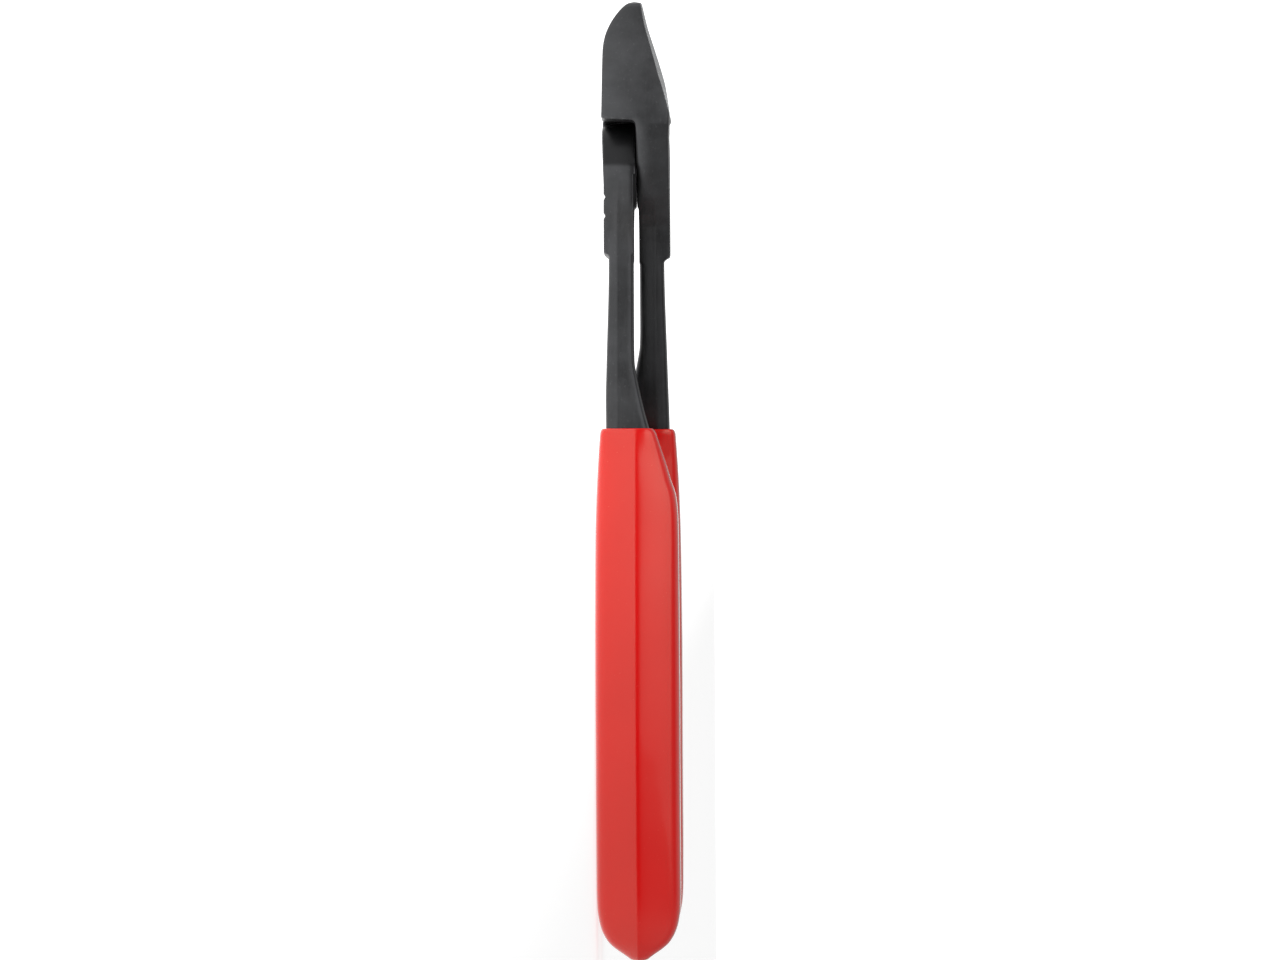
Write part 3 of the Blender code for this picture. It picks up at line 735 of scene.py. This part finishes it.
def groundFinish():
    look = groundSteel
    made, w, shader = newMaterial("ground_steel", {"Metallic": 1.0})
    here = w.node("ShaderNodeTexCoord", {}, {}, 3)
    lines = noise(w, here, 1.0, 3.0, 0.6, (9000.0, 260.0, 700.0))
    coarse = noise(w, here, 1.0, 1.0, 0.5, (2600.0, 90.0, 200.0))
    stain = noise(w, here, 240.0, 3.0, 0.6)
    tone = mixColour(lines.ramp(0.3, 0.7) * 0.5 + stain.ramp(0.5, 0.8) * 0.3, look["base"], look["dull"])
    rough = coarse.ramp(0.3, 0.7, *look["roughness"]) + (lines - 0.5) * 0.08
    skin = bump(w, lines, look["lines"])
    skin = bump(w, coarse, look["lines"] * 1.5, 0.7, skin)
    join(w, shader, Base_Color=tone, Roughness=rough, Normal=skin)
    return made


def rivetFinish():
    made, w, shader = newMaterial("rivet_steel", {"Metallic": 1.0})
    here = w.node("ShaderNodeTexCoord", {}, {}, 3)
    centred = w.node("ShaderNodeVectorMath", {"operation": "SUBTRACT"},
                     {0: here, 1: tuple(place(jointShape["pivot"], 0, 0))})
    parts = w.node("ShaderNodeSeparateXYZ", {}, {0: centred})
    y = parts.output(1)
    radius = (parts * parts + y * y) ** 0.5
    rings = radius.math("SINE", radius * 26000.0) * 0.5 + 0.5
    stain = noise(w, here, 420.0, 3.0, 0.6)
    scuff = noise(w, here, 1.0, 2.0, 0.5, (700.0, 5200.0, 700.0))
    dark = tuple(c * 0.55 for c in rivetLook["colour"])
    tone = mixColour(stain.ramp(0.42, 0.72) * 0.7 + rings * 0.12, rivetLook["colour"], dark)
    rough = stain.ramp(0.3, 0.7, rivetLook["roughness"] - 0.06, rivetLook["roughness"] + 0.08)
    skin = bump(w, rings, 0.000004)
    skin = bump(w, scuff, 0.000005, 0.8, skin)
    join(w, shader, Base_Color=tone, Roughness=rough, Normal=skin)
    return made


def vinylFinish():
    look = redVinyl
    made, w, shader = newMaterial("red_vinyl", {
        "IOR": 1.5, "Specular Tint": (*look["specularTint"], 1), "Coat Roughness": look["coatRoughness"],
        "Coat IOR": 1.5, "Coat Tint": (*look["coatTint"], 1)})
    here = w.node("ShaderNodeTexCoord", {}, {}, 3)
    cloud = noise(w, here, 45.0, 3.0, 0.5)
    peel = noise(w, here, 420.0, 1.0, 0.4)
    dust = noise(w, here, 2600.0, 2.0, 0.6)
    tone = mixColour(cloud.ramp(0.25, 0.8, kind="SMOOTHSTEP"), look["red"], look["deep"])
    tone = mixColour(dust.ramp(0.70, 0.80) * 0.25, tone, look["dust"])
    rough = cloud.ramp(0.2, 0.8, *look["roughness"], "SMOOTHSTEP") + dust.ramp(0.66, 0.78) * 0.12
    skin = bump(w, peel, look["peel"])
    skin = bump(w, dust.ramp(0.66, 0.80), look["specks"], 0.8, skin)
    coat = look["coat"] - dust.ramp(0.6, 0.8) * 0.3
    join(w, shader, Base_Color=tone, Roughness=rough, Coat_Weight=coat, Normal=skin)
    return made


# The floor and its glow, then the strengths of the tent's panels and where each gives way to the next.
stageLook = {
    "clearance": 0.00013, "floorSize": 2.2, "floor": (0.30, 0.30, 0.299), "glow": (0.74, 1.35),
    "glowSpan": (-0.09, 0.05), "backdrop": 1.12, "backdropTop": (0.098, 0.114), "sides": 0.40,
    "tent": 1.12, "gap": 0.02, "gapTop": (0.14, 0.34), "roofFrom": (0.93, 0.985), "roof": 0.50,
    "tailEnd": 0.34, "tipEnd": 1.73,
}


def makeFloor():
    bm = bmesh.new()
    bmesh.ops.create_grid(bm, x_segments=8, y_segments=8, size=stageLook["floorSize"],
                          matrix=Matrix.Translation((0, 0, -stageLook["clearance"])))
    floor = addMesh("floor", bm)
    made, w, shader = newMaterial("pale_floor", {"Roughness": 0.75, "Emission Strength": 1.0})
    here = w.node("ShaderNodeTexCoord", {}, {}, 3)
    paper = noise(w, here, 900.0, 3.0, 0.6)
    tone = mixColour(paper.ramp(0.3, 0.7), stageLook["floor"], tuple(c * 0.985 for c in stageLook["floor"]))
    along = w.node("ShaderNodeSeparateXYZ", {}, {0: here})
    low, high = [(strength, strength, strength) for strength in stageLook["glow"]]
    glow = mixColour(along.ramp(*stageLook["glowSpan"], kind="SMOOTHSTEP"), low, high)
    join(w, shader, Base_Color=tone, Emission_Color=glow, Normal=bump(w, paper, 0.00002, 0.3))
    floor.data.materials.append(made)
    return floor


def makeWorld():
    look = stageLook
    world = bpy.data.worlds.new("soft_tent")
    scene.world = world
    world.use_nodes = True
    w = Wire(world.node_tree)
    direction = w.node("ShaderNodeTexCoord", {}, {}, 0)
    x = w.node("ShaderNodeSeparateXYZ", {}, {0: direction})
    y, z = x.output(1), x.output(2)
    along = x.ramp(-0.35, 1.0, look["tailEnd"], look["tipEnd"], "SMOOTHSTEP")
    along = along + x.ramp(-0.60, -0.30, 0.20, 0.0, "SMOOTHSTEP")
    roof = z.ramp(*look["roofFrom"], 1.0, look["roof"], "SMOOTHSTEP")
    gap = x.ramp(-0.55, -0.30, 0.8, look["gap"], "SMOOTHSTEP")
    front = z.ramp(*look["gapTop"], gap, look["tent"], "SMOOTHSTEP") * along * roof
    panel = abs(x).ramp(0.14, 0.30, look["backdrop"], look["sides"], "SMOOTHSTEP")
    panel = z.ramp(*look["backdropTop"], panel, look["sides"], "SMOOTHSTEP")
    facing = y.ramp(-0.05, 0.30, 0.0, 1.0, "SMOOTHSTEP")
    strength = front * facing + (1 - facing) * panel * roof
    background = world.node_tree.nodes["Background"]
    background.inputs["Color"].default_value = (1, 1, 1, 1)
    w.tree.links.new(strength.socket, background.inputs["Strength"])


def makeSoftbox(name, spot, aim, size, power):
    lamp = bpy.data.lights.new(name, "AREA")
    lamp.shape, lamp.size, lamp.energy = "SQUARE", size, power
    made = bpy.data.objects.new(name, lamp)
    facing = (Vector(spot) - Vector(aim)).to_track_quat("Z", "Y")
    made.matrix_world = Matrix.Translation(spot) @ facing.to_matrix().to_4x4()
    scene.collection.objects.link(made)


cameraView = {"distance": 1.1, "elevation": radians(1.45), "roll": radians(0.304), "lens": 147.13,
              "aim": (-0.00013, 0.0, 0.00894)}


def makeCamera():
    look = cameraView
    up, right = Vector((1, 0, 0)), Vector((0, -sin(look["elevation"]), cos(look["elevation"])))
    back = Vector((0, cos(look["elevation"]), sin(look["elevation"])))
    c, s = cos(look["roll"]), sin(look["roll"])
    turn = Matrix((c * right - s * up, s * right + c * up, back)).transposed().to_4x4()
    lens = bpy.data.cameras.new("camera")
    lens.lens = look["lens"]
    lens.sensor_width = 36
    lens.clip_start, lens.clip_end = 0.01, 20
    made = bpy.data.objects.new("camera", lens)
    made.matrix_world = Matrix.Translation(Vector(look["aim"]) + back * look["distance"]) @ turn
    scene.collection.objects.link(made)
    scene.camera = made


steel, ground, vinyl, pinSteel = blackenedSteel(), groundFinish(), vinylFinish(), rivetFinish()
print("finishes made")
tree = sleeveTree()
for hand, side in ((1, "right"), (-1, "left")):
    lever = makeLever(side + "_lever_forging", hand, steel, ground)
    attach(lever, side + "_half")
    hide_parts(side + "_lever")
    sleeve = makeSleeve(side + "_sleeve_skin", hand, tree, vinyl)
    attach(sleeve, side + "_half")
    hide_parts(side + "_grip_sleeve")
rivet = makeRivet("staked_rivet", pinSteel)
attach(rivet, "right_half")
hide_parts("pivot_rivet")

makeFloor()
makeWorld()
makeSoftbox("tentLight", (0.35, 0.95, 0.95), (0, 0, 0), 1.5, 2.5)
makeCamera()
scene.view_settings.view_transform = "Standard"
print("stage made")
